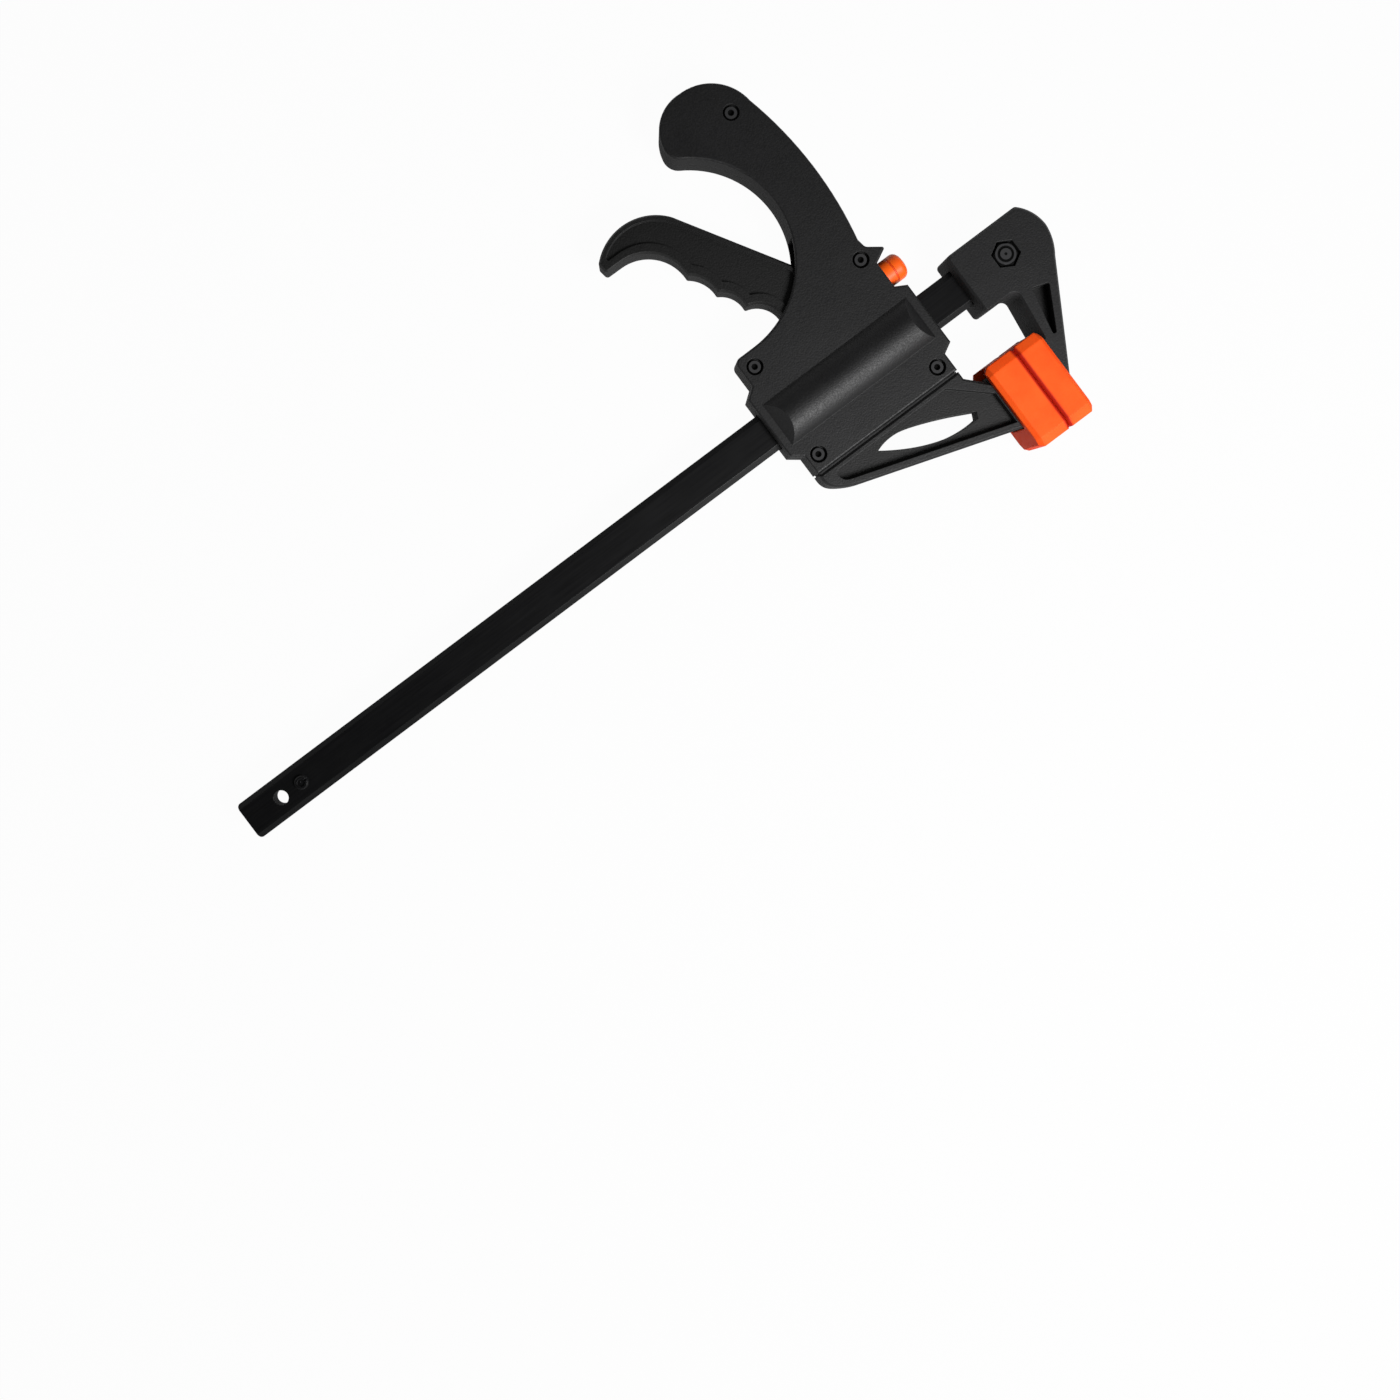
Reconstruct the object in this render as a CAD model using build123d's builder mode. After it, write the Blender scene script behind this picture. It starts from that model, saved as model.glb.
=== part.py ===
from build123d import *
import os
from math import cos, radians, sin

# A one-handed quick release bar clamp, lying on its side.
# Frame: +X along the bar towards the fixed jaw, +Y towards the grip, +Z through the thickness.
# The origin is on the bar's centre line, at the axis of the hole in its free end. Millimetres.

os.makedirs("parts", exist_ok=True)

# ---- clearances -----------------------------------------------------------------------------
moving_gap = 0.3            # between pieces that slide or swing past each other
pin_clearance = 0.05        # radial, round a pivot pin
seat_gap = 0.05             # round a piece that is pushed into its seat
cut_margin = 1.0            # how far a cutting tool runs past the face it opens
small_edge = 0.4            # broken edges of pins, nut and bolt

# ---- bar ------------------------------------------------------------------------------------
bar_start_x = -14.7
bar_end_x = 330.5
bar_depth = 14.6            # along Y
bar_thickness = 5.0         # along Z
bar_bevel_y = 1.9
bar_bevel_z = 1.2
bar_corner_radius = 1.2
spreader_hole_radius = 2.7
stop_pin_x = 9.4
stop_pin_radius = 2.5
stop_pin_bore_radius = 1.4
stop_pin_slit = 0.7
stop_pin_length = 8.0

# ---- housing --------------------------------------------------------------------------------
body_left_x = 222.4
body_right_x = 284.2
body_bottom_y = -22.5
body_half = 7.0             # half thickness of housing and grip
wall = 1.7
cavity_half = body_half - wall
shell_edge = 0.8
left_collar_x = 218.3
left_collar_top_y = 13.3
left_collar_bottom_y = -11.7
left_collar_chamfer_y = 3.1
right_collar_x = 288.3
right_collar_top_y = 12.2
right_collar_bottom_y = -13.1
right_collar_chamfer_y = 2.3
end_wall = 7.9              # thickness along X of the two end walls that guide the bar
bulge_radius = 11.3         # barrel round the bar, coaxial with it
bulge_start_x = 221.4
bulge_end_x = 284.9
bulge_scoop = 4.3           # length of the sloped ends of the barrel
barrel_bore_radius = 9.8
end_wall_half = 12.8        # half height of the solid end walls
channel_gap = 0.3           # round the bar in the end walls

grip_arc_centre = (231.1, 64.3)     # centre of the concave front of the grip
grip_arc_radius = 37.1
grip_arc_end_angle = 58.5           # degrees, where the grip's front turns into its head
head_tip = (247.6, 100.6)
head_shoulder = (247.8, 102.8)
head_rise = (0.2, 1.0)              # direction of the outline as it leaves the shoulder
head_crown = (264.0, 114.9)
head_brow = (278.0, 108.8)
grip_neck = (283.7, 35.5)
grip_back = (286.8, 65.0)
grip_head_start = (282.8, 98.0)
spur_root_top = (284.3, 32.0)
spur_tip = (290.0, 27.8)
spur_bottom_y = 24.8

screw_spots = [(274.7, 98.5), (280.2, 29.2), (227.4, 21.4), (226.9, -16.9), (279.1, -17.5)]
screw_boss_radius = 3.5
screw_shank_radius = 1.45
screw_clearance_radius = 1.6
screw_head_radius = 2.6
screw_head_height = 1.7
screw_head_taper = 12               # degrees
screw_socket_radius = 1.0
screw_socket_depth = 1.0
screw_recess_radius = 3.05
screw_recess_depth = 2.2
screw_tip_z = -5.6

# ---- trigger --------------------------------------------------------------------------------
trigger_pivot = (258.0, 26.5)
trigger_half = 5.0
trigger_pocket_depth = 1.3
trigger_rim = 2.0                   # round the recessed panels
trigger_finger_rim = (1.3, 1.0)     # how much further the rim reaches on the fingers' side
trigger_hub_radius = 6.0
trigger_edge = 0.7
trigger_pin_radius = 2.0
trigger_pin_half = 6.1
trigger_nose_centre = (255.0, 14.2)
trigger_nose_radius = 3.0
trigger_nose_length = 4.3
trigger_tip_low = (205.5, 79.9)
trigger_tip_high = (204.9, 83.9)
trigger_crest = (219.2, 90.1)
trigger_nape = (236.1, 82.0)
trigger_heel = (260.1, 42.6)
trigger_throat = (212.0, 79.8)
hub_right = (263.9, 27.6)
hub_side = (263.4, 24.0)
hub_bottom = (261.2, 21.4)
groove_ends = [(228.2, 61.9), (233.2, 50.6), (238.3, 40.4), (246.4, 30.4)]
groove_bottoms = [(232.4, 56.5), (237.5, 46.1), (244.4, 36.6)]
trigger_slot_start_angle = -68.5    # degrees round the grip arc's centre
trigger_slot_end_angle = -22.0

# ---- jam plates and springs -----------------------------------------------------------------
plate_half_width = 5.0      # along Z
plate_corner_radius = 1.5
drive_plate_x = 247.7       # left face of the stack
drive_plate_thickness = 2.0
drive_plate_bottom_y = -12.5
drive_plate_top_y = 17.8
plate_hole_gap = 0.3        # round the bar, for plates that stay square to it
brake_pivot = (270.0, -12.5)
brake_tilt = 6.35           # degrees from square, at rest
brake_plate_thickness = 1.6
brake_plate_height = 34.5
brake_hole_gap = 0.6        # room for the brake plates' tilt
drive_spring_radius = 8.9
drive_spring_wire = 0.6
drive_spring_turns = 4
brake_spring_y = 14.2
brake_spring_radius = 2.4
brake_spring_wire = 0.35
brake_spring_turns = 4
spring_rib_x = 260.4
spring_rib_thickness = 1.8
spring_rib_bottom_y = 8.4
spring_rib_top_y = 17.8

# ---- release button -------------------------------------------------------------------------
button_y = 20.1
button_radius = 5.0
button_hole_radius = 5.3
button_end_x = 292.9
button_dome = 2.2
button_inner_x = 275.7
button_flange_x = 279.2
button_flange_thickness = 1.9
button_flange_bottom_y = 13.4
button_flange_top_y = 24.5
button_flange_half = 4.8
button_stem_radius = 3.2

# ---- moving jaw -----------------------------------------------------------------------------
groove_height = 0.8         # of the narrow groove between the shells and the moving jaw
groove_depth = 0.8
jaw_shoulder_y = body_bottom_y - groove_height
jaw_root_top_y = -13.0
jaw_root_half = 5.1
jaw_corner_start_y = -24.7          # where the left edge begins to curve under
jaw_corner = (226.1, -30.8)
jaw_flange_start = (233.4, -34.5)   # straight lower edge of the arm
jaw_flange_end = (290.8, -53.1)
jaw_flange_slope = (1, -0.324)      # direction of that edge
jaw_neck = (284.1, -26.4)
jaw_neck_end = (293.2, -36.0)
recess_corners = [(276.8, -25.3), (290.0, -37.2), (290.0, -50.1), (233.3, -31.7)]
recess_left = (228.2, -28.4)
recess_left_start = (-1, 0.324)     # directions in which the rounded left end starts and ends
recess_left_end = (1, 0.1)
recess_top_left = (229.5, -25.3)
jaw_slot_left = (245.2, -28.8)
jaw_slot_top = [(251.5, -27.6), (264.5, -30.7), (274.5, -35.0)]
jaw_slot_right_top = (281.7, -38.6)
jaw_slot_right_bottom = (280.6, -40.9)
jaw_slot_bottom = [(274.8, -41.0), (261.5, -37.9)]
jaw_web_half = 3.6
jaw_plate_left_x = 292.2            # clamping plate inside the pad
jaw_plate_right_x = 297.2
jaw_plate_half = 9.0
anchor_tooth = 1.2
anchor_tooth_height = 1.7

# ---- pads and the plates they are drawn over ------------------------------------------------
clamp_plane_x = 303.2
pad_gap = 0.3
pad_half = 11.0
pad_top_y = -28.0
pad_bottom_y = -62.6
pad_bevel_y = 3.4           # long bevels along the pads' top and bottom edges
pad_bevel_z = 1.6
pad_edge = 0.7              # all round the clamping face
pad_back_edge = 1.6
moving_pad_back_x = 290.6
fixed_pad_back_x = 314.2
pad_window_gap = 0.3        # round the arm, where it enters a pad's back
plate_top_y = -31.6
plate_bottom_y = -60.2

# ---- fixed jaw ------------------------------------------------------------------------------
fixed_jaw_left_x = 304.2
fixed_jaw_top_y = 11.6
fixed_jaw_bottom_y = -12.6
fixed_jaw_half = 8.5
fixed_jaw_edge = 0.8
fixed_jaw_heel = (334.5, 11.6)
fixed_jaw_cheek = (338.1, 6.9)
fixed_jaw_nose = (339.8, -0.3)
fixed_jaw_jowl = (338.4, -6.2)
fixed_jaw_chin = (335.9, -10.8)
fixed_jaw_toe = (313.2, -50.2)
fixed_plate_left_x = 308.4
fixed_plate_right_x = 313.2
fixed_plate_half = 9.0
fixed_arm_top = (317.2, -12.6)
fixed_arm_bottom = (314.8, -31.6)
pocket_corners = [(321.9, -15.0), (328.3, -17.1), (317.4, -37.2)]
pocket_corner_radius = 0.8
pocket_web_half = 3.0
jaw_bolt_spot = (322.0, 0.0)
jaw_bolt_radius = 2.5
nut_across_flats = 8.0
nut_recess_across_flats = 9.3
nut_turn = 30               # degrees: two corners point along Y
nut_height = 4.0
nut_seat_z = 4.2
bolt_head_radius = 4.4
bolt_head_height = 3.4
bolt_head_edge = 1.2
bolt_socket_across_flats = 3.0
bolt_socket_depth = 2.0
bolt_end_z = 8.3


def finish(piece, name):
    """Label a finished piece and write it as one STEP file."""
    piece.part.label = name
    export_step(piece.part, f"parts/{name}.step")


# ---- shared profiles ------------------------------------------------------------------------

arc_end = (
    grip_arc_centre[0] + grip_arc_radius * cos(radians(grip_arc_end_angle)),
    grip_arc_centre[1] + grip_arc_radius * sin(radians(grip_arc_end_angle)),
)
arc_start = (grip_arc_centre[0], grip_arc_centre[1] - grip_arc_radius)
shoulder = (body_left_x, arc_start[1])

with BuildSketch() as housing_profile:
    with BuildLine():
        Polyline(
            (body_left_x, body_bottom_y),
            (body_left_x, left_collar_bottom_y - left_collar_chamfer_y),
            (left_collar_x, left_collar_bottom_y),
            (left_collar_x, left_collar_top_y),
            (body_left_x, left_collar_top_y + left_collar_chamfer_y),
            shoulder,
            arc_start,
        )
        CenterArc(grip_arc_centre, grip_arc_radius, -90, 90 + grip_arc_end_angle)
        ThreePointArc(arc_end, head_tip, head_shoulder)
        TangentArc(head_shoulder, head_crown, tangent=head_rise)
        ThreePointArc(head_crown, head_brow, grip_head_start)
        ThreePointArc(grip_head_start, grip_back, grip_neck)
        Polyline(
            grip_neck,
            spur_root_top,
            spur_tip,
            (body_right_x, spur_bottom_y),
            (body_right_x, right_collar_top_y + right_collar_chamfer_y),
            (right_collar_x, right_collar_top_y),
            (right_collar_x, right_collar_bottom_y),
            (body_right_x, right_collar_bottom_y - right_collar_chamfer_y),
            (body_right_x, body_bottom_y),
            (body_left_x, body_bottom_y),
        )
    make_face()
    for corner, radius in ((shoulder, 2.6), (spur_root_top, 2.0), (spur_tip, 0.7)):
        fillet(housing_profile.vertices().sort_by_distance(corner)[0], radius=radius)

# The hollow of a shell: an even wall all round, full end walls, and open towards the moving jaw.
with BuildSketch() as cavity_profile:
    add(housing_profile.sketch)
    offset(amount=-wall, kind=Kind.ARC, mode=Mode.REPLACE)
    for end_x in (left_collar_x, right_collar_x):
        with Locations((end_x, 0)):
            Rectangle(2 * end_wall, 2 * end_wall_half, mode=Mode.SUBTRACT)
    with Locations(((body_left_x + body_right_x) / 2, body_bottom_y)):
        Rectangle(body_right_x - body_left_x - 2 * wall, 4 * wall)

# The barrel round the bar, with a sloped scoop at each end.
with BuildPart() as barrel:
    with BuildSketch(Plane.XZ):
        with BuildLine():
            Polyline(
                (bulge_start_x, 0),
                (bulge_start_x, body_half),
                (bulge_start_x + bulge_scoop, bulge_radius),
                (bulge_end_x - bulge_scoop, bulge_radius),
                (bulge_end_x, body_half),
                (bulge_end_x, 0),
                close=True,
            )
        make_face()
    extrude(amount=bulge_radius, both=True)
    with BuildSketch(Plane.YZ.offset(bulge_start_x)):
        Circle(bulge_radius)
    extrude(amount=bulge_end_x - bulge_start_x, mode=Mode.INTERSECT)


def direction(angle):
    """A unit step in the XY plane, at an angle in degrees from +X."""
    return Vector(cos(radians(angle)), sin(radians(angle)))


def housing_half():
    """One half of the housing and grip, on the +Z side of the parting plane, without screw holes."""
    centre = Vector(*grip_arc_centre)
    reach = 2 * grip_arc_radius
    with BuildPart() as half:
        extrude(housing_profile.sketch, amount=body_half)
        rim = half.faces().sort_by(Axis.Z)[-1].outer_wire().edges()
        fillet(rim, radius=shell_edge)
        add(barrel.part)
        extrude(cavity_profile.sketch, amount=cavity_half, mode=Mode.SUBTRACT)
        # bore of the barrel, for the jam plates and the drive spring
        with BuildSketch(Plane.YZ.offset(left_collar_x + end_wall)):
            Circle(barrel_bore_radius)
        bore_length = right_collar_x - left_collar_x - 2 * end_wall
        extrude(amount=bore_length, mode=Mode.SUBTRACT)
        # screw bosses, kept inside the outline, and the seat of the brake spring
        with BuildSketch():
            with Locations(*screw_spots):
                Circle(screw_boss_radius)
            add(housing_profile.sketch, mode=Mode.INTERSECT)
        extrude(amount=cavity_half + wall / 2)
        with BuildSketch():
            with Locations((spring_rib_x, spring_rib_bottom_y)):
                Rectangle(
                    spring_rib_thickness,
                    spring_rib_top_y - spring_rib_bottom_y,
                    align=(Align.MIN, Align.MIN),
                )
        extrude(amount=cavity_half + wall / 2)
        # channel for the bar through both end walls
        with BuildSketch(Plane.YZ.offset(left_collar_x - cut_margin)):
            Rectangle(bar_depth + 2 * channel_gap, bar_thickness + 2 * channel_gap)
        channel_length = right_collar_x - left_collar_x + 2 * cut_margin
        extrude(amount=channel_length, mode=Mode.SUBTRACT)
        # slot in the front of the grip, where the trigger enters
        with BuildSketch():
            with Locations(grip_arc_centre):
                Circle(grip_arc_radius + wall + cut_margin)
                Circle(grip_arc_radius - cut_margin, mode=Mode.SUBTRACT)
            with BuildLine():
                Polyline(
                    centre,
                    centre + direction(trigger_slot_start_angle) * reach,
                    centre + direction(trigger_slot_end_angle) * reach,
                    close=True,
                )
            make_face(mode=Mode.INTERSECT)
        extrude(amount=cavity_half, mode=Mode.SUBTRACT)
        # round hole for the release button
        with BuildSketch(Plane.YZ.offset(body_right_x - 2 * wall)):
            with Locations((button_y, 0)):
                Circle(button_hole_radius)
        extrude(amount=3 * wall, mode=Mode.SUBTRACT)
        # blind seat of the trigger pin
        with BuildSketch():
            with Locations(trigger_pivot):
                Circle(trigger_pin_radius)
        extrude(amount=trigger_pin_half, mode=Mode.SUBTRACT)
    return half.part


# ---- housing shells -------------------------------------------------------------------------

with BuildPart() as front_shell:
    add(housing_half())
    with BuildSketch(Plane.XY.offset(body_half - screw_recess_depth)):
        with Locations(*screw_spots):
            Circle(screw_recess_radius)
    extrude(amount=screw_recess_depth + cut_margin, mode=Mode.SUBTRACT)
    with BuildSketch():
        with Locations(*screw_spots):
            Circle(screw_clearance_radius)
    extrude(amount=body_half, mode=Mode.SUBTRACT)
finish(front_shell, "front_shell")

with BuildPart() as rear_shell:
    add(mirror(housing_half(), about=Plane.XY))
    with BuildSketch():
        with Locations(*screw_spots):
            Circle(screw_shank_radius)
    extrude(amount=screw_tip_z, mode=Mode.SUBTRACT)
finish(rear_shell, "rear_shell")

with BuildPart() as housing_screws:
    screw_seat_z = body_half - screw_recess_depth
    with BuildSketch(Plane.XY.offset(screw_tip_z)):
        with Locations(*screw_spots):
            Circle(screw_shank_radius)
    extrude(amount=screw_seat_z - screw_tip_z)
    with BuildSketch(Plane.XY.offset(screw_seat_z)):
        with Locations(*screw_spots):
            Circle(screw_head_radius)
    extrude(amount=screw_head_height, taper=screw_head_taper)
    with BuildSketch(Plane.XY.offset(screw_seat_z + screw_head_height)):
        with Locations(*screw_spots):
            RegularPolygon(screw_socket_radius, 6)
    extrude(amount=-screw_socket_depth, mode=Mode.SUBTRACT)
finish(housing_screws, "housing_screws")

# ---- bar and its stop -----------------------------------------------------------------------

half_depth = bar_depth / 2
half_thickness = bar_thickness / 2

with BuildPart() as bar:
    with BuildSketch(Plane.YZ.offset(bar_start_x)):
        with BuildLine():
            Polyline(
                (half_depth, 0),
                (half_depth, half_thickness - bar_bevel_z),
                (half_depth - bar_bevel_y, half_thickness),
                (0, half_thickness),
            )
            mirror(about=Plane.XZ)
            mirror(about=Plane.YZ)
        make_face()
    extrude(amount=bar_end_x - bar_start_x)
    end_corners = bar.edges().filter_by(Axis.Z).group_by(Axis.X)[0]
    fillet(end_corners, radius=bar_corner_radius)
    with BuildSketch(Plane.XY.offset(-half_thickness)):
        Circle(spreader_hole_radius)
        with Locations((stop_pin_x, 0)):
            Circle(stop_pin_radius)
        with Locations(jaw_bolt_spot):
            Circle(jaw_bolt_radius + seat_gap)
    extrude(amount=bar_thickness, mode=Mode.SUBTRACT)
finish(bar, "bar")

with BuildPart() as stop_pin:
    with BuildSketch(Plane.XY.offset(-stop_pin_length / 2)):
        with Locations((stop_pin_x, 0)):
            Circle(stop_pin_radius)
            Circle(stop_pin_bore_radius, mode=Mode.SUBTRACT)
            Rectangle(
                stop_pin_radius + cut_margin,
                stop_pin_slit,
                align=(Align.MIN, Align.CENTER),
                mode=Mode.SUBTRACT,
            )
    extrude(amount=stop_pin_length)
    pin_rims = stop_pin.edges().filter_by(GeomType.CIRCLE)
    wall_middle_radius = (stop_pin_bore_radius + stop_pin_radius) / 2
    outer_rims = pin_rims.filter_by(lambda edge: edge.radius > wall_middle_radius)
    chamfer(outer_rims, length=small_edge)
finish(stop_pin, "stop_pin")

# ---- fixed jaw, its bolt and nut ------------------------------------------------------------

with BuildPart() as fixed_jaw:
    with BuildSketch(Plane.XY.offset(-fixed_jaw_half)) as fixed_jaw_profile:
        with BuildLine():
            Polyline(
                fixed_jaw_chin,
                fixed_jaw_toe,
                (fixed_plate_left_x, fixed_jaw_toe[1]),
                (fixed_plate_left_x, plate_top_y),
                fixed_arm_bottom,
                fixed_arm_top,
                (fixed_jaw_left_x, fixed_jaw_bottom_y),
                (fixed_jaw_left_x, fixed_jaw_top_y),
                fixed_jaw_heel,
            )
            ThreePointArc(fixed_jaw_heel, fixed_jaw_cheek, fixed_jaw_nose)
            ThreePointArc(fixed_jaw_nose, fixed_jaw_jowl, fixed_jaw_chin)
        make_face()
        for corner, radius in (
            ((fixed_jaw_left_x, fixed_jaw_bottom_y), 1.6),
            ((fixed_jaw_left_x, fixed_jaw_top_y), 1.6),
            (fixed_arm_top, 2.5),
            (fixed_jaw_heel, 2.0),
        ):
            fillet(fixed_jaw_profile.vertices().sort_by_distance(corner)[0], radius=radius)
    extrude(amount=2 * fixed_jaw_half)
    rims = fixed_jaw.faces().filter_by(Axis.Z).edges()
    chamfer(rims, length=fixed_jaw_edge)
    # clamping plate, wider than the arm, that carries the pad
    with BuildSketch(Plane.XY.offset(-fixed_plate_half)):
        with Locations((fixed_plate_left_x, plate_bottom_y)):
            Rectangle(
                fixed_plate_right_x - fixed_plate_left_x,
                plate_top_y - plate_bottom_y,
                align=(Align.MIN, Align.MIN),
            )
    extrude(amount=2 * fixed_plate_half)
    # triangular pockets on both faces leave a web and two ribs
    for face_plane in (Plane.XY.offset(pocket_web_half), Plane.XY.offset(-pocket_web_half)):
        with BuildSketch(face_plane) as pocket:
            with BuildLine():
                Polyline(*pocket_corners, close=True)
            make_face()
            fillet(pocket.vertices(), radius=pocket_corner_radius)
        outward = fixed_jaw_half if face_plane.origin.Z > 0 else -fixed_jaw_half
        extrude(amount=outward, mode=Mode.SUBTRACT)
    # socket for the bar
    with BuildSketch(Plane.YZ.offset(fixed_jaw_left_x - cut_margin)):
        Rectangle(bar_depth + 2 * seat_gap, bar_thickness + 2 * seat_gap)
    extrude(amount=bar_end_x - fixed_jaw_left_x + cut_margin + seat_gap, mode=Mode.SUBTRACT)
    # bolt hole, nut recess in front, head recess behind
    with BuildSketch(Plane.XY.offset(-fixed_jaw_half)):
        with Locations(jaw_bolt_spot):
            Circle(jaw_bolt_radius + seat_gap)
    extrude(amount=2 * fixed_jaw_half, mode=Mode.SUBTRACT)
    with BuildSketch(Plane.XY.offset(nut_seat_z)):
        with Locations(jaw_bolt_spot):
            RegularPolygon(nut_recess_across_flats / 2, 6, major_radius=False, rotation=nut_turn)
    extrude(amount=fixed_jaw_half, mode=Mode.SUBTRACT)
    with BuildSketch(Plane.XY.offset(-nut_seat_z)):
        with Locations(jaw_bolt_spot):
            Circle(bolt_head_radius + moving_gap)
    extrude(amount=-fixed_jaw_half, mode=Mode.SUBTRACT)
finish(fixed_jaw, "fixed_jaw")

with BuildPart() as jaw_nut:
    with BuildSketch(Plane.XY.offset(nut_seat_z)):
        with Locations(jaw_bolt_spot):
            RegularPolygon(nut_across_flats / 2, 6, major_radius=False, rotation=nut_turn)
            Circle(jaw_bolt_radius, mode=Mode.SUBTRACT)
    extrude(amount=nut_height)
    chamfer(jaw_nut.faces().sort_by(Axis.Z)[-1].outer_wire().edges(), length=small_edge)
finish(jaw_nut, "jaw_nut")

with BuildPart() as jaw_bolt:
    with BuildSketch(Plane.XY.offset(-nut_seat_z)):
        with Locations(jaw_bolt_spot):
            Circle(jaw_bolt_radius)
    extrude(amount=nut_seat_z + bolt_end_z)
    chamfer(jaw_bolt.edges().sort_by(Axis.Z)[-1], length=small_edge)
    with BuildSketch(Plane.XY.offset(-nut_seat_z)):
        with Locations(jaw_bolt_spot):
            Circle(bolt_head_radius)
    extrude(amount=-bolt_head_height)
    fillet(jaw_bolt.edges().sort_by(Axis.Z)[0], radius=bolt_head_edge)
    with BuildSketch(Plane.XY.offset(-nut_seat_z - bolt_head_height)):
        with Locations(jaw_bolt_spot):
            RegularPolygon(bolt_socket_across_flats / 2, 6, major_radius=False)
    extrude(amount=bolt_socket_depth, mode=Mode.SUBTRACT)
finish(jaw_bolt, "jaw_bolt")

# ---- pads -----------------------------------------------------------------------------------


def pad_cap(face_x, back_x, plate_left_x, plate_right_x, plate_half, window_low_y, window_half):
    """A soft cap over a jaw's clamping plate, with a window in its back where the arm enters."""
    outward = 1 if face_x > back_x else -1
    with BuildPart() as cap:
        with BuildSketch(Plane.YZ.offset(back_x)):
            with BuildLine():
                Polyline(
                    (pad_top_y, pad_half - pad_bevel_z),
                    (pad_top_y - pad_bevel_y, pad_half),
                    (pad_bottom_y + pad_bevel_y, pad_half),
                    (pad_bottom_y, pad_half - pad_bevel_z),
                    (pad_bottom_y, -pad_half + pad_bevel_z),
                    (pad_bottom_y + pad_bevel_y, -pad_half),
                    (pad_top_y - pad_bevel_y, -pad_half),
                    (pad_top_y, -pad_half + pad_bevel_z),
                    close=True,
                )
            make_face()
        extrude(amount=face_x - back_x)
        face_end, back_end = (-1, 0) if outward > 0 else (0, -1)
        chamfer(cap.faces().sort_by(Axis.X)[back_end].edges(), length=pad_back_edge)
        chamfer(cap.faces().sort_by(Axis.X)[face_end].edges(), length=pad_edge)
        # seat of the plate
        with BuildSketch(Plane.XY.offset(-plate_half - seat_gap)):
            with Locations((plate_left_x - seat_gap, plate_bottom_y - seat_gap)):
                Rectangle(
                    plate_right_x - plate_left_x + 2 * seat_gap,
                    plate_top_y - plate_bottom_y + 2 * seat_gap,
                    align=(Align.MIN, Align.MIN),
                )
        extrude(amount=2 * (plate_half + seat_gap), mode=Mode.SUBTRACT)
        # window for the arm, open at the pad's back and top
        plate_centre_x = (plate_left_x + plate_right_x) / 2
        with BuildSketch(Plane.XY.offset(-window_half)):
            with Locations((plate_centre_x, window_low_y)):
                Rectangle(
                    abs(back_x - plate_centre_x) + cut_margin,
                    pad_top_y - window_low_y + cut_margin,
                    align=(Align.MAX if outward > 0 else Align.MIN, Align.MIN),
                )
        extrude(amount=2 * window_half, mode=Mode.SUBTRACT)
    return cap.part


with BuildPart() as fixed_jaw_pad:
    add(
        pad_cap(
            clamp_plane_x + pad_gap / 2,
            fixed_pad_back_x,
            fixed_plate_left_x,
            fixed_plate_right_x,
            fixed_plate_half,
            fixed_jaw_toe[1] - pad_window_gap,
            fixed_jaw_half + seat_gap,
        )
    )
finish(fixed_jaw_pad, "fixed_jaw_pad")

with BuildPart() as moving_jaw_pad:
    add(
        pad_cap(
            clamp_plane_x - pad_gap / 2,
            moving_pad_back_x,
            jaw_plate_left_x,
            jaw_plate_right_x,
            jaw_plate_half,
            jaw_flange_end[1] - pad_window_gap,
            body_half + seat_gap,
        )
    )
finish(moving_jaw_pad, "moving_jaw_pad")

# ---- moving jaw -----------------------------------------------------------------------------

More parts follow.
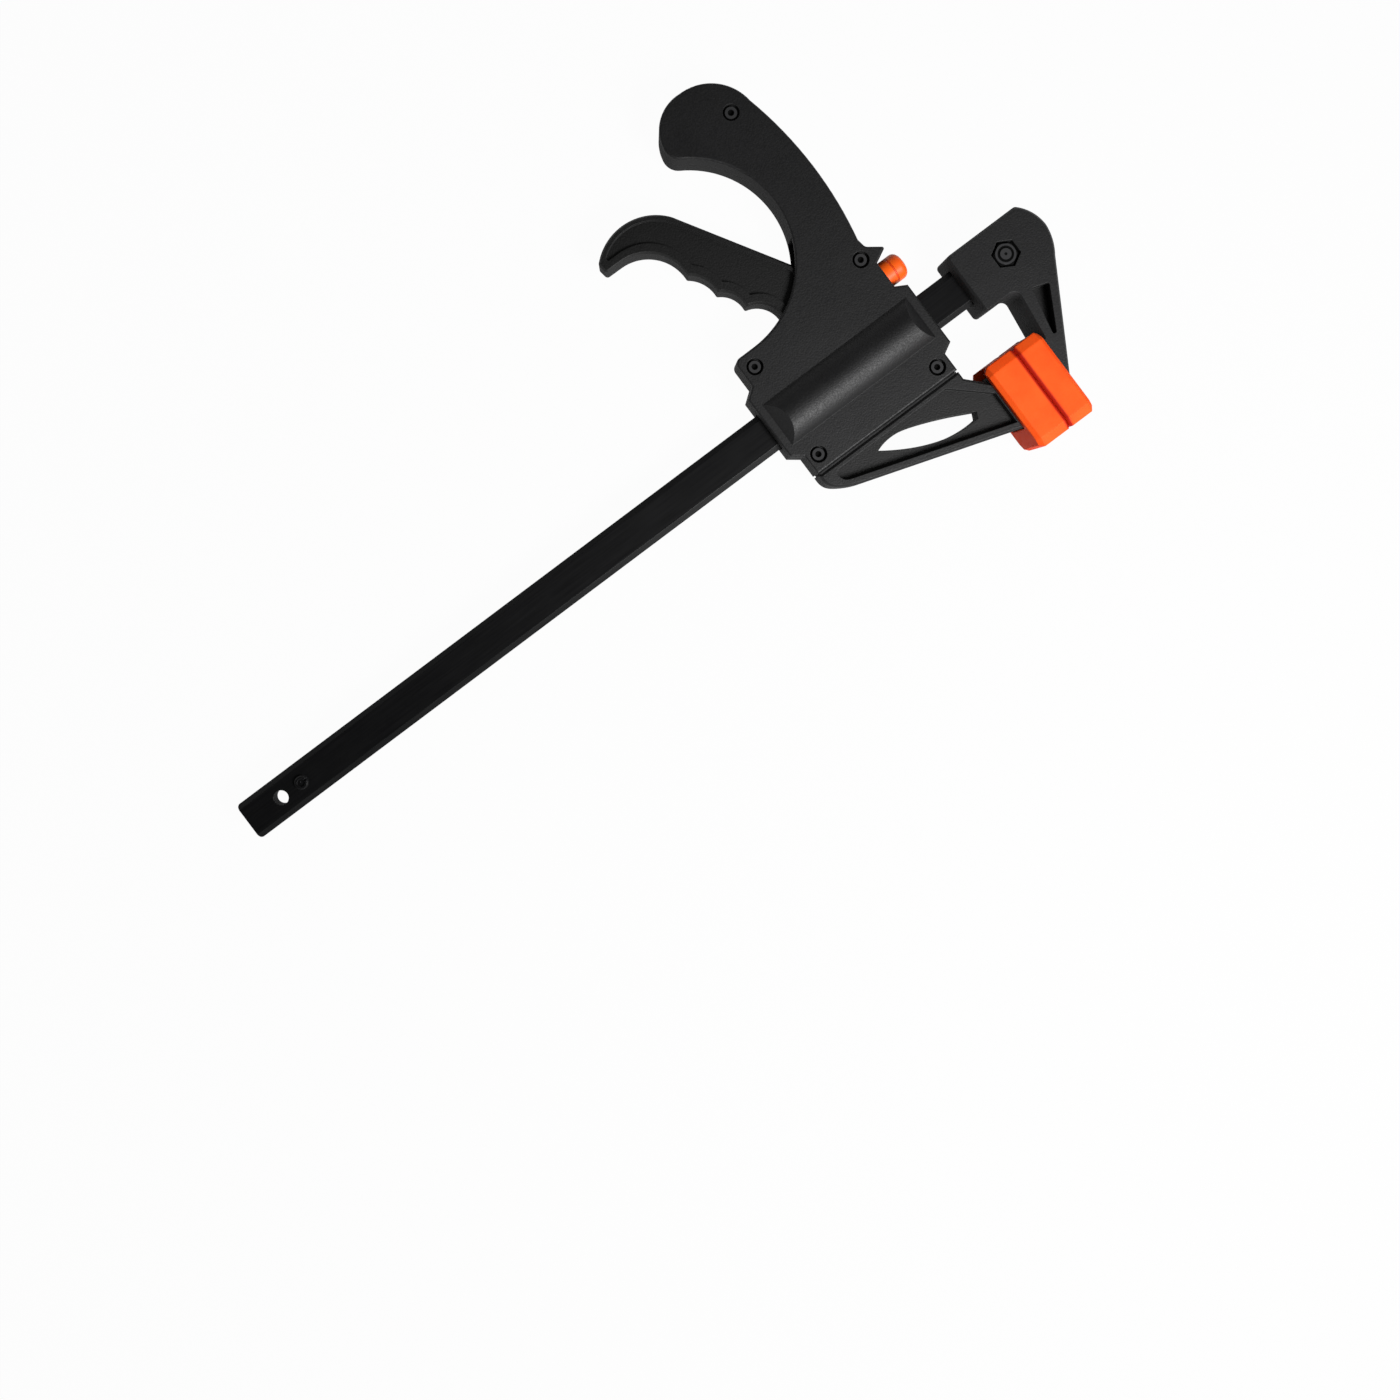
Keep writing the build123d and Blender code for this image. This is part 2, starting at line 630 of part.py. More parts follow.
with BuildPart() as moving_jaw:
    with BuildSketch(Plane.XY.offset(-body_half)):
        with BuildLine():
            Polyline(
                (jaw_neck[0], jaw_shoulder_y),
                (body_left_x, jaw_shoulder_y),
                (body_left_x, jaw_corner_start_y),
            )
            Spline(
                (body_left_x, jaw_corner_start_y),
                jaw_corner,
                jaw_flange_start,
                tangents=((0, -1), jaw_flange_slope),
            )
            Polyline(
                jaw_flange_start,
                jaw_flange_end,
                (jaw_neck_end[0], jaw_flange_end[1]),
                jaw_neck_end,
                jaw_neck,
                (jaw_neck[0], jaw_shoulder_y),
            )
        make_face()
    extrude(amount=2 * body_half)
    chamfer(moving_jaw.faces().filter_by(Axis.Z).edges(), length=shell_edge)
    # clamping plate that carries the pad
    with BuildSketch(Plane.XY.offset(-jaw_plate_half)):
        with Locations((jaw_plate_left_x, plate_bottom_y)):
            Rectangle(
                jaw_plate_right_x - jaw_plate_left_x,
                plate_top_y - plate_bottom_y,
                align=(Align.MIN, Align.MIN),
            )
    extrude(amount=2 * jaw_plate_half)
    # recessed web between the flanges, on both faces
    for face_plane in (Plane.XY.offset(jaw_web_half), Plane.XY.offset(-jaw_web_half)):
        with BuildSketch(face_plane):
            with BuildLine():
                Polyline(*recess_corners)
                Spline(
                    recess_corners[-1],
                    recess_left,
                    recess_top_left,
                    tangents=(recess_left_start, recess_left_end),
                )
                Line(recess_top_left, recess_corners[0])
            make_face()
        outward = body_half if face_plane.origin.Z > 0 else -body_half
        extrude(amount=outward, mode=Mode.SUBTRACT)
    # lens-shaped slot through the web
    with BuildSketch(Plane.XY.offset(-body_half)):
        with BuildLine():
            Spline(jaw_slot_left, *jaw_slot_top, jaw_slot_right_top)
            Line(jaw_slot_right_top, jaw_slot_right_bottom)
            Spline(jaw_slot_right_bottom, *jaw_slot_bottom, jaw_slot_left)
        make_face()
    extrude(amount=2 * body_half, mode=Mode.SUBTRACT)
    # neck between arm and shells, at the bottom of the groove
    with BuildSketch(Plane.XY.offset(groove_depth - body_half)):
        with Locations(((body_left_x + body_right_x) / 2, body_bottom_y - seat_gap)):
            Rectangle(
                body_right_x - body_left_x - 2 * groove_depth,
                2 * groove_height,
                align=(Align.CENTER, Align.MAX),
            )
    extrude(amount=2 * (body_half - groove_depth))
    # root held between the shells, with holes for the screw bosses and an anchor for the brake
    with BuildSketch(Plane.XY.offset(-jaw_root_half)):
        with BuildLine():
            Polyline(
                (body_left_x + wall + seat_gap, jaw_shoulder_y - 1),
                (body_left_x + wall + seat_gap, jaw_root_top_y),
                (body_right_x - wall - seat_gap, jaw_root_top_y),
                (body_right_x - wall - seat_gap, jaw_shoulder_y - 1),
                close=True,
            )
        make_face()
        for tooth_x in (
            brake_pivot[0] - brake_plate_thickness - 2 * moving_gap - anchor_tooth / 2,
            brake_pivot[0] + brake_plate_thickness + 2 * moving_gap + anchor_tooth / 2,
        ):
            with Locations((tooth_x, jaw_root_top_y)):
                Rectangle(anchor_tooth, 2 * anchor_tooth_height)
        with Locations(*screw_spots[3:]):
            Circle(screw_boss_radius + seat_gap, mode=Mode.SUBTRACT)
    extrude(amount=2 * jaw_root_half)
finish(moving_jaw, "moving_jaw")

# ---- trigger --------------------------------------------------------------------------------

nose_x, nose_y = trigger_nose_centre
nose_right = (nose_x + trigger_nose_radius, nose_y)
nose_bottom = (nose_x, nose_y - trigger_nose_radius)
nose_left = (nose_x - trigger_nose_radius, nose_y)
nose_root = (nose_x - trigger_nose_radius, nose_y + trigger_nose_length)

with BuildPart() as trigger:
    with BuildSketch(Plane.XY.offset(-trigger_half)) as trigger_profile:
        with BuildLine():
            Line(trigger_tip_low, trigger_tip_high)
            ThreePointArc(trigger_tip_high, trigger_crest, trigger_nape)
            Polyline(trigger_nape, trigger_heel, hub_right)
            ThreePointArc(hub_right, hub_side, hub_bottom)
            Line(hub_bottom, nose_right)
            ThreePointArc(nose_right, nose_bottom, nose_left)
            Polyline(nose_left, nose_root, groove_ends[-1])
            for start, bottom, end in zip(groove_ends, groove_bottoms, groove_ends[1:]):
                ThreePointArc(start, bottom, end)
            underside = Line(trigger_tip_low, trigger_throat)
            TangentArc(trigger_throat, groove_ends[0], tangent=underside % 1)
        make_face()
        for corner, radius in (
            (trigger_nape, 12.0),
            (trigger_tip_low, 1.4),
            (trigger_tip_high, 1.4),
            (trigger_heel, 4.0),
            (nose_root, 3.0),
            (nose_right, 2.0),
        ):
            fillet(trigger_profile.vertices().sort_by_distance(corner)[0], radius=radius)
        for cusp in groove_ends:
            fillet(trigger_profile.vertices().sort_by_distance(cusp)[0], radius=0.8)
    extrude(amount=2 * trigger_half)
    chamfer(trigger.faces().filter_by(Axis.Z).edges(), length=trigger_edge)
    # recessed panels above the hub, inside a rim that is wider along the fingers
    panel_z = trigger_half - trigger_pocket_depth
    for face_plane in (Plane.XY.offset(panel_z), Plane.XY.offset(-panel_z)):
        with BuildSketch(face_plane) as panel:
            add(trigger_profile.sketch_local)
            offset(amount=-trigger_rim, kind=Kind.ARC, mode=Mode.REPLACE)
            inset = panel.sketch_local
            add(inset.moved(Location((*trigger_finger_rim, 0))), mode=Mode.INTERSECT)
            with Locations(trigger_pivot):
                Circle(trigger_hub_radius, mode=Mode.SUBTRACT)
                Rectangle(
                    4 * trigger_hub_radius,
                    4 * trigger_hub_radius,
                    align=(Align.CENTER, Align.MAX),
                    mode=Mode.SUBTRACT,
                )
        outward = trigger_half if face_plane.origin.Z > 0 else -trigger_half
        extrude(amount=outward, mode=Mode.SUBTRACT)
    with BuildSketch(Plane.XY.offset(-trigger_half)):
        with Locations(trigger_pivot):
            Circle(trigger_pin_radius + pin_clearance)
    extrude(amount=2 * trigger_half, mode=Mode.SUBTRACT)
finish(trigger, "trigger")

with BuildPart() as trigger_pin:
    with BuildSketch(Plane.XY.offset(-trigger_pin_half)):
        with Locations(trigger_pivot):
            Circle(trigger_pin_radius)
    extrude(amount=2 * trigger_pin_half)
    chamfer(trigger_pin.edges(), length=small_edge)
finish(trigger_pin, "trigger_pin")

# ---- jam plates -----------------------------------------------------------------------------


def jam_plate(plane, bottom, top, hole_centre, hole_gap, thickness):
    """A steel plate with a window for the bar. The plane's x runs up the plate, its y along Z."""
    with BuildPart() as plate:
        with BuildSketch(plane) as face:
            with Locations((bottom, 0)):
                Rectangle(top - bottom, 2 * plate_half_width, align=(Align.MIN, Align.CENTER))
            fillet(face.vertices(), radius=plate_corner_radius)
            with Locations((hole_centre, 0)):
                Rectangle(
                    bar_depth + 2 * hole_gap,
                    bar_thickness + 2 * plate_hole_gap,
                    mode=Mode.SUBTRACT,
                )
        extrude(amount=thickness)
    return plate.part


upright = {"x_dir": (0, 1, 0), "z_dir": (1, 0, 0)}
for number, name in enumerate(("drive_plate_outer", "drive_plate_inner")):
    plate_x = drive_plate_x + number * drive_plate_thickness
    with BuildPart() as drive_plate:
        add(
            jam_plate(
                Plane(origin=(plate_x, 0, 0), **upright),
                drive_plate_bottom_y,
                drive_plate_top_y,
                0,
                plate_hole_gap,
                drive_plate_thickness,
            )
        )
    finish(drive_plate, name)

lean = radians(brake_tilt)
tilted = {"x_dir": (sin(lean), cos(lean), 0), "z_dir": (cos(lean), -sin(lean), 0)}
for number, name in enumerate(("brake_plate_inner", "brake_plate_outer")):
    shift = (number - 1) * brake_plate_thickness
    plate_origin = (
        brake_pivot[0] + shift * cos(lean),
        brake_pivot[1] - shift * sin(lean),
        0,
    )
    with BuildPart() as brake_plate:
        add(
            jam_plate(
                Plane(origin=plate_origin, **tilted),
                0,
                brake_plate_height,
                -brake_pivot[1],
                brake_hole_gap,
                brake_plate_thickness,
            )
        )
    finish(brake_plate, name)

# ---- springs --------------------------------------------------------------------------------


def coil(start_x, end_x, axis_y, radius, wire, turns):
    """A compression spring along X between two seats."""
    length = end_x - start_x - 2 * wire
    with BuildPart() as spring:
        with BuildLine() as path:
            Helix(
                pitch=length / turns,
                height=length,
                radius=radius,
                center=(start_x + wire, axis_y, 0),
                direction=(1, 0, 0),
            )
        with BuildSketch(Plane(origin=path.line @ 0, z_dir=path.line % 0)):
            RegularPolygon(wire, 4)
        sweep(path=path.line, is_frenet=True)
    return spring.part


with BuildPart() as drive_spring:
    add(
        coil(
            left_collar_x + end_wall + seat_gap,
            drive_plate_x - seat_gap,
            0,
            drive_spring_radius,
            drive_spring_wire,
            drive_spring_turns,
        )
    )
finish(drive_spring, "drive_spring")

spring_reach = brake_spring_y - brake_spring_radius - brake_pivot[1]
brake_face_x = brake_pivot[0] + spring_reach * sin(lean) - brake_plate_thickness
with BuildPart() as brake_spring:
    add(
        coil(
            spring_rib_x + spring_rib_thickness + seat_gap,
            brake_face_x - seat_gap,
            brake_spring_y,
            brake_spring_radius,
            brake_spring_wire,
            brake_spring_turns,
        )
    )
finish(brake_spring, "brake_spring")

# ---- release button -------------------------------------------------------------------------

with BuildPart() as release_button:
    with BuildSketch(Plane.YZ.offset(button_flange_x)):
        with Locations((button_y, 0)):
            Circle(button_radius)
    extrude(amount=button_end_x - button_flange_x)
    fillet(release_button.edges().sort_by(Axis.X)[-1], radius=button_dome)
    with BuildSketch(Plane.YZ.offset(button_flange_x)):
        with Locations((button_flange_bottom_y, 0)):
            Rectangle(
                button_flange_top_y - button_flange_bottom_y,
                2 * button_flange_half,
                align=(Align.MIN, Align.CENTER),
            )
    extrude(amount=button_flange_thickness)
    with BuildSketch(Plane.YZ.offset(button_inner_x)):
        with Locations((button_y, 0)):
            Circle(button_stem_radius)
    extrude(amount=button_flange_x - button_inner_x)
finish(release_button, "release_button")
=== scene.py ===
from math import cos, pi, radians, sin

import bmesh
import bpy
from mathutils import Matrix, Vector


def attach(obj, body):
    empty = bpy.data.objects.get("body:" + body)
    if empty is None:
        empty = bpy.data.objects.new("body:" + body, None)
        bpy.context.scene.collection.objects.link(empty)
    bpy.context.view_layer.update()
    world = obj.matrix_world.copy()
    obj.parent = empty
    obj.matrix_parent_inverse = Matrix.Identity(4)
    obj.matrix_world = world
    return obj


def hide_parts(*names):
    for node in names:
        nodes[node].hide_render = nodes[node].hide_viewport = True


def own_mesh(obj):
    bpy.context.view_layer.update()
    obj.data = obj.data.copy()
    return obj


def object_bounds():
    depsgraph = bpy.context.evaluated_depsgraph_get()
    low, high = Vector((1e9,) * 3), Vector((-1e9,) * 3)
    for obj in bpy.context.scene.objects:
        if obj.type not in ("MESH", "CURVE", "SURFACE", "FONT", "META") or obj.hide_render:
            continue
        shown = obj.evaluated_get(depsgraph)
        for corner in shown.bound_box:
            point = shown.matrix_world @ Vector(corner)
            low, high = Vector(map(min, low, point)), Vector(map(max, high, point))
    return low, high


# The looks of the quick release bar clamp: procedural finishes for the CAD nodes, copies of the
# springs that ride on the housing, the inner turns of the stop pin, a pale floor, plain studio
# light and the camera. Everything is in metres, in the frame of the imported model.

MM = 0.001

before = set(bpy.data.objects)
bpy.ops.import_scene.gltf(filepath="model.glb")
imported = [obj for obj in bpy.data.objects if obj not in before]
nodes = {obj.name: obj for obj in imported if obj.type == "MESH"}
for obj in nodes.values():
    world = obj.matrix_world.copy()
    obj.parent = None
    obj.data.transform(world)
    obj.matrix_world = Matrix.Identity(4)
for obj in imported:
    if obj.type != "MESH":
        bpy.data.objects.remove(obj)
cad_low, cad_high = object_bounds()

# ---- camera: straight above the lying clamp, as the photograph was taken ----------------------
CAMERA_PLACE = Vector((155.04, -10.79, 450.0)) * MM
CAMERA_TURN = radians(-36.87)       # the bar rises to the right at this slope in the picture
LENS_MM = 32.17
SENSOR_MM = 36.0
CAMERA_SHIFT = (0.0386, -0.0986)    # the photograph's frame is not centred on its optical axis
CLIP_START = 0.01                   # nothing nearer to the camera than this is drawn

# ---- light, floor and backdrop ----------------------------------------------------------------
KEY_AZIMUTH = radians(-70.0)        # the one large lamp stands on the moving jaw's side of the bar
KEY_LEAN = radians(42.0)            # from straight above
KEY_DISTANCE = 0.62
KEY_SIZE = 0.24
KEY_LEVEL = 1.25                    # what a white surface that faces the lamp would reflect
CEILING_LEVEL = 0.1                 # the dim studio above the clamp
BACKDROP_TOP = 0.4                  # the white backdrop ends at this height of a ray's direction
BACKDROP_FULL = 0.2                 # and is fully white below this one
PLAIN_WHITE = 1.0                   # the level that shows as plain white
FLOOR_CENTRE = (0.16, 0.02)         # below the middle of the clamp
FLOOR_SIZE = 6.0
FLOOR_GREY = 0.45                   # the floor's own colour, which lights the walls from below
FLOOR_ROUGHNESS = 0.9
FLOOR_GLOW = 0.97                   # how far the floor shows plain white
WHITE = (1.0, 1.0, 1.0, 1.0)

# ---- colours, as sRGB values from 0 to 255 ----------------------------------------------------
BODY_BLACK = (8, 8, 9)
BODY_BLACK_PALE = (14, 14, 15)
BODY_RUBBED_AND_HIGHLIGHT = (44, 44, 46)
SEAM_AND_SHADE_BLACK = (3, 3, 3)
BAR_BLACK = (4, 4, 5)
BAR_BLACK_PALE = (8, 8, 9)
BAR_RUBBED = (46, 46, 48)
PAD_ORANGE = (255, 94, 26)
PAD_ORANGE_DEEP = (255, 80, 16)
PAD_RUBBED = (255, 118, 52)
PAD_WALL_SHADE_ORANGE = (240, 64, 12)
PAD_RIM_SHADE_RED = (176, 26, 7)
BUTTON_ORANGE = (255, 102, 14)
BUTTON_GROOVE_SHADE = (236, 66, 12)
FASTENER_BLACK_AND_SHADE = (3, 3, 3)
FASTENER_GREY = (52, 52, 53)
FASTENER_WORN = (70, 70, 72)
PLATE_STEEL = (176, 176, 172)
PLATE_STEEL_DULL = (140, 141, 140)

# ---- patterns ---------------------------------------------------------------------------------
NOISE_RANGE = (0.3, 0.7)            # most values of a noise pattern lie between these
BODY_CLOUD_RANGE = (0.35, 0.65)     # narrower ranges give patches with clearer borders
BAR_WEAR_RANGE = (0.42, 0.62)
FASTENER_WEAR_RANGE = (0.35, 0.6)
WALL_RANGE = (0.35, 0.15)           # from face to wall: how much of the normal points up or down
EDGE_RANGE = (0.99, 0.80)           # from face to edge: cosine of the normal's turn at an edge
PAD_SIDE_RANGE = (0.95, 0.85)       # from a pad's face to its sides: the normal's part along X
LINE_RANGE = (1.4, 0.7)             # the soft border of a line, in half widths
ROUNDING_SAMPLES = 8
MIXER_FIRST = 6                     # a colour mixer's sockets share their names with others,
MIXER_SECOND = 7                    # so they go by number
MIXER_RESULT = 2

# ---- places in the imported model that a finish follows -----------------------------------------
# X and Y of each screw and of the jaw's bolt, in millimetres
SCREW_SPOTS = [(274.7, 98.5), (280.2, 29.2), (227.4, 21.4), (226.9, -16.9), (279.1, -17.5)]
JAW_BOLT_SPOT = (322.0, 0.0)
SCREW_FACE_RADIUS = 2.15 * MM       # the rubbed ring of a screw's head, round its socket
SCREW_SOCKET_RADIUS = 1.15 * MM
NUT_THREAD_RADIUS = 2.95 * MM       # the ring round the bolt's end, painted black as shade
NUT_FACE_RADIUS = 3.75 * MM         # the nut's turned face, inside its chamfered corners
BOLT_FACE_RADIUS = 2.0 * MM         # the bolt's end, inside its chamfer
BOLT_MARK_RADIUS = 0.55 * MM        # the dark mark at its centre
PAD_FACE_X = 303.2 * MM             # where the two pads meet
PAD_RIM_SHADE_WIDTH = 1.15 * MM
BUTTON_GROOVE_X = 288.2 * MM
BUTTON_GROOVE_HALF = 0.25 * MM
BUTTON_GROOVE_DEPTH = 0.25 * MM
SEAM_HALF = 0.22 * MM               # half width of the parting line, at Z = 0
SEAM_DEPTH = 0.4 * MM
SUNK_Z = 5.2 * MM                   # level faces of the front half below this are sunk, and get painted shade

# ---- springs and the stop pin's inner turns ---------------------------------------------------
PIN_X = 9.4 * MM                    # the stop pin's axis
PIN_END_RADIUS = 2.4 * MM           # the strip's outer end fills the pin's slit out to here
PIN_BORE_RADIUS = 1.36 * MM         # just inside the solid pin's bore
PIN_HEART_RADIUS = 0.46 * MM        # outer radius of the strip where its innermost turn ends
PIN_STRIP = 0.44 * MM               # thickness of the strip that the pin is rolled from
PIN_TURNS = 2.0
PIN_STEPS = 48                      # over all turns
PIN_END_STEPS = 2                   # the outer end takes up this many steps, astride the slit
PIN_TURNS_HALF = 3.3 * MM           # half length, short of the pin's ends


def linear(colour):
    """A colour of sRGB values from 0 to 255 as the linear RGBA that a shader takes."""
    parts = [c / 255 for c in colour]
    parts = [p / 12.92 if p <= 0.04045 else ((p + 0.055) / 1.055) ** 2.4 for p in parts]
    return (*parts, 1.0)


def feed(tree, socket, value):
    """Link an output to a socket, or set the socket's own value."""
    if isinstance(value, bpy.types.NodeSocket):
        tree.links.new(value, socket)
    else:
        socket.default_value = value


def add_node(tree, kind, sockets=(), **settings):
    """Add a node. A socket's value is a plain value, or an output that is linked to it."""
    made = tree.nodes.new(kind)
    for key, value in settings.items():
        setattr(made, key, value)
    for key, value in dict(sockets).items():
        feed(tree, made.inputs[key], value)
    return made


class Finish:
    """A procedural material in the making. Its patterns are fixed to the piece, in metres."""

    def __init__(self, name, metallic=0.0, specular=0.5):
        self.material = bpy.data.materials.new(name)
        self.material.use_nodes = True
        self.tree = self.material.node_tree
        self.shader = self.tree.nodes["Principled BSDF"]
        self.shader.inputs["Metallic"].default_value = metallic
        self.shader.inputs["Specular IOR Level"].default_value = specular
        coordinates = self.node("ShaderNodeTexCoord")
        self.place = coordinates.outputs["Object"]
        self.facing = coordinates.outputs["Normal"]

    def node(self, kind, sockets=(), **settings):
        """Add a node to this material."""
        return add_node(self.tree, kind, sockets, **settings)

    def part(self, vector, axis):
        """The X, Y or Z part of a vector."""
        return self.node("ShaderNodeSeparateXYZ", {"Vector": vector}).outputs[axis]

    def line(self, value, half_width):
        """1 where the value is within the half width of zero, with a soft border."""
        outer, inner = LINE_RANGE
        away = self.math("ABSOLUTE", value)
        return self.remap(away, half_width * outer, half_width * inner)

    def ring(self, spot, inner, outer):
        """1 between two radii, in metres, round the upright axis at a spot in millimetres."""
        level = self.node(
            "ShaderNodeCombineXYZ",
            {"X": self.part(self.place, "X"), "Y": self.part(self.place, "Y")},
        )
        radius = self.node(
            "ShaderNodeVectorMath",
            {0: level.outputs["Vector"], 1: (spot[0] * MM, spot[1] * MM, 0.0)},
            operation="DISTANCE",
        ).outputs["Value"]
        outside = self.math("GREATER_THAN", radius, inner)
        inside = self.math("LESS_THAN", radius, outer)
        return self.math("MULTIPLY", outside, inside)

    def walls(self):
        """1 on the walls that stand upright when the clamp lies flat, 0 on its faces."""
        return self.remap(self.math("ABSOLUTE", self.part(self.facing, "Z")), *WALL_RANGE)

    def noise(self, size, detail=2.0, stretch=(1, 1, 1)):
        """A soft random pattern whose grains are this many metres across."""
        scaled = self.node(
            "ShaderNodeMapping",
            {"Vector": self.place, "Scale": [1 / (size * factor) for factor in stretch]},
        )
        pattern = self.node(
            "ShaderNodeTexNoise",
            {"Vector": scaled.outputs["Vector"], "Scale": 1.0, "Detail": detail},
        )
        return pattern.outputs["Fac"]

    def remap(self, value, low, high, to_low=0.0, to_high=1.0):
        """The value, stretched from one range to another and held inside it."""
        stretched = self.node(
            "ShaderNodeMapRange",
            {
                "Value": value,
                "From Min": low,
                "From Max": high,
                "To Min": to_low,
                "To Max": to_high,
            },
        )
        return stretched.outputs["Result"]

    def math(self, operation, first, second=0.0):
        """The result of one arithmetic step."""
        return self.node(
            "ShaderNodeMath", {0: first, 1: second}, operation=operation
        ).outputs["Value"]

    def mix(self, share, first, second):
        """A colour between two colours."""
        mixer = self.node(
            "ShaderNodeMix",
            {"Factor": share, MIXER_FIRST: first, MIXER_SECOND: second},
            data_type="RGBA",
        )
        return mixer.outputs[MIXER_RESULT]

    def rounded(self, radius):
        """The normal of a surface whose edges are rounded over the radius."""
        return self.node(
            "ShaderNodeBevel", {"Radius": radius}, samples=ROUNDING_SAMPLES
        ).outputs["Normal"]

    def edges(self, radius, strength):
        """The strength on edges sharper than the radius, 0 on the faces beside them."""
        plain = self.node("ShaderNodeNewGeometry").outputs["Normal"]
        turned = self.node(
            "ShaderNodeVectorMath",
            {0: self.rounded(radius), 1: plain},
            operation="DOT_PRODUCT",
        )
        edge = self.remap(turned.outputs["Value"], *EDGE_RANGE)
        return self.math("MULTIPLY", edge, strength)

    def relief(self, *layers, edge_radius):
        """Round the edges and add bumps, each a pair of height pattern and depth in metres."""
        normal = self.rounded(edge_radius)
        for height, depth in layers:
            bump = self.node(
                "ShaderNodeBump", {"Height": height, "Distance": depth, "Normal": normal}
            )
            normal = bump.outputs["Normal"]
        feed(self.tree, self.shader.inputs["Normal"], normal)

    def surface(self, colour, roughness):
        """Connect the colour and the roughness, and return the material."""
        feed(self.tree, self.shader.inputs["Base Color"], colour)
        feed(self.tree, self.shader.inputs["Roughness"], roughness)
        return self.material


def sunk_faces(finish, walls):
    """1 on the level faces of the front half that lie lower than the housing's face: painted
    shade.

    These are the floors of the recesses for the screws and the nut, the webs of both jaws, the
    moving jaw's root and the whole trigger.
    """
    height = finish.part(finish.place, "Z")
    sunk = finish.math("LESS_THAN", height, SUNK_Z)
    in_front = finish.math("GREATER_THAN", height, 0.0)
    level = finish.math("SUBTRACT", 1.0, walls)
    return finish.math("MULTIPLY", finish.math("MULTIPLY", sunk, in_front), level)


def moulded_black(name):
    """Black glass-filled nylon with the fine grain of a mould, and a seam round its middle."""
    finish = Finish(name, specular=0.4)
    cloud = finish.remap(finish.noise(size=14 * MM, detail=4.0), *BODY_CLOUD_RANGE)
    grain = finish.noise(size=0.6 * MM, detail=4.0)
    swell = finish.noise(size=5 * MM)
    # the edges are painted lighter: partly rubbed wear, partly a painted highlight along each edge
    rubbed = finish.edges(radius=0.3 * MM, strength=0.35)
    walls = finish.walls()
    seam = finish.math("MULTIPLY", finish.line(finish.part(finish.place, "Z"), SEAM_HALF), walls)
    tone = finish.mix(cloud, linear(BODY_BLACK), linear(BODY_BLACK_PALE))
    colour = finish.mix(rubbed, tone, linear(BODY_RUBBED_AND_HIGHLIGHT))
    # the seam is painted near black as a dark joint, and the sunk faces near black as painted
    # shade
    seam_and_painted_shade = finish.math("MAXIMUM", seam, sunk_faces(finish, walls))
    colour = finish.mix(seam_and_painted_shade, colour, linear(SEAM_AND_SHADE_BLACK))
    outside_seam = finish.math("SUBTRACT", 1.0, seam)
    finish.relief(
        (grain, 0.09 * MM), (swell, 0.05 * MM), (outside_seam, SEAM_DEPTH), edge_radius=0.22 * MM
    )
    face_roughness = finish.remap(grain, *NOISE_RANGE, to_low=0.46, to_high=0.62)
    wall_roughness = finish.math("MULTIPLY", walls, 0.9)
    return finish.surface(colour, finish.math("MAXIMUM", face_roughness, wall_roughness))


def blackened_steel(name):
    """Rolled flat steel under a satin black coat, with faint marks along the rolling."""
    finish = Finish(name, specular=0.2)
    streaks = finish.noise(size=0.5 * MM, detail=3.0, stretch=(40, 1, 1))
    grain = finish.noise(size=0.3 * MM)
    cloud = finish.remap(finish.noise(size=9 * MM, detail=5.0), *NOISE_RANGE)
    patches = finish.remap(finish.noise(size=6 * MM), *BAR_WEAR_RANGE)
    worn = finish.edges(radius=0.4 * MM, strength=patches)
    tone = finish.mix(cloud, linear(BAR_BLACK), linear(BAR_BLACK_PALE))
    colour = finish.mix(worn, tone, linear(BAR_RUBBED))
    finish.relief((streaks, 0.015 * MM), (grain, 0.01 * MM), edge_radius=0.3 * MM)
    face_roughness = finish.remap(streaks, *NOISE_RANGE, to_low=0.36, to_high=0.5)
    wall_roughness = finish.math("MULTIPLY", finish.walls(), 0.8)
    return finish.surface(colour, finish.math("MAXIMUM", face_roughness, wall_roughness))


def pad_rubber(name):
    """Orange moulded elastomer, matt, with a fine grain; painted shade on its walls and its face's
    rim.
    """
    finish = Finish(name, specular=0.18)
    cloud = finish.remap(finish.noise(size=11 * MM, detail=4.0), *NOISE_RANGE)
    grain = finish.noise(size=0.4 * MM, detail=3.0)
    swell = finish.noise(size=4 * MM)
    rubbed = finish.edges(radius=0.6 * MM, strength=0.35)
    from_face = finish.math("SUBTRACT", finish.part(finish.place, "X"), PAD_FACE_X)
    on_face = finish.math("ABSOLUTE", finish.part(finish.facing, "X"))
    beside_face = finish.remap(on_face, *PAD_SIDE_RANGE)
    # painted shade: deep red along the rim where the two pads meet
    rim_shade = finish.math("MULTIPLY", finish.line(from_face, PAD_RIM_SHADE_WIDTH), beside_face)
    tone = finish.mix(cloud, linear(PAD_ORANGE_DEEP), linear(PAD_ORANGE))
    # painted shade: the walls are a deeper orange than the faces
    tone = finish.mix(finish.walls(), tone, linear(PAD_WALL_SHADE_ORANGE))
    colour = finish.mix(rubbed, tone, linear(PAD_RUBBED))
    colour = finish.mix(rim_shade, colour, linear(PAD_RIM_SHADE_RED))
    finish.relief((grain, 0.03 * MM), (swell, 0.06 * MM), edge_radius=0.8 * MM)
    roughness = finish.remap(grain, *NOISE_RANGE, to_low=0.55, to_high=0.75)
    return finish.surface(colour, roughness)


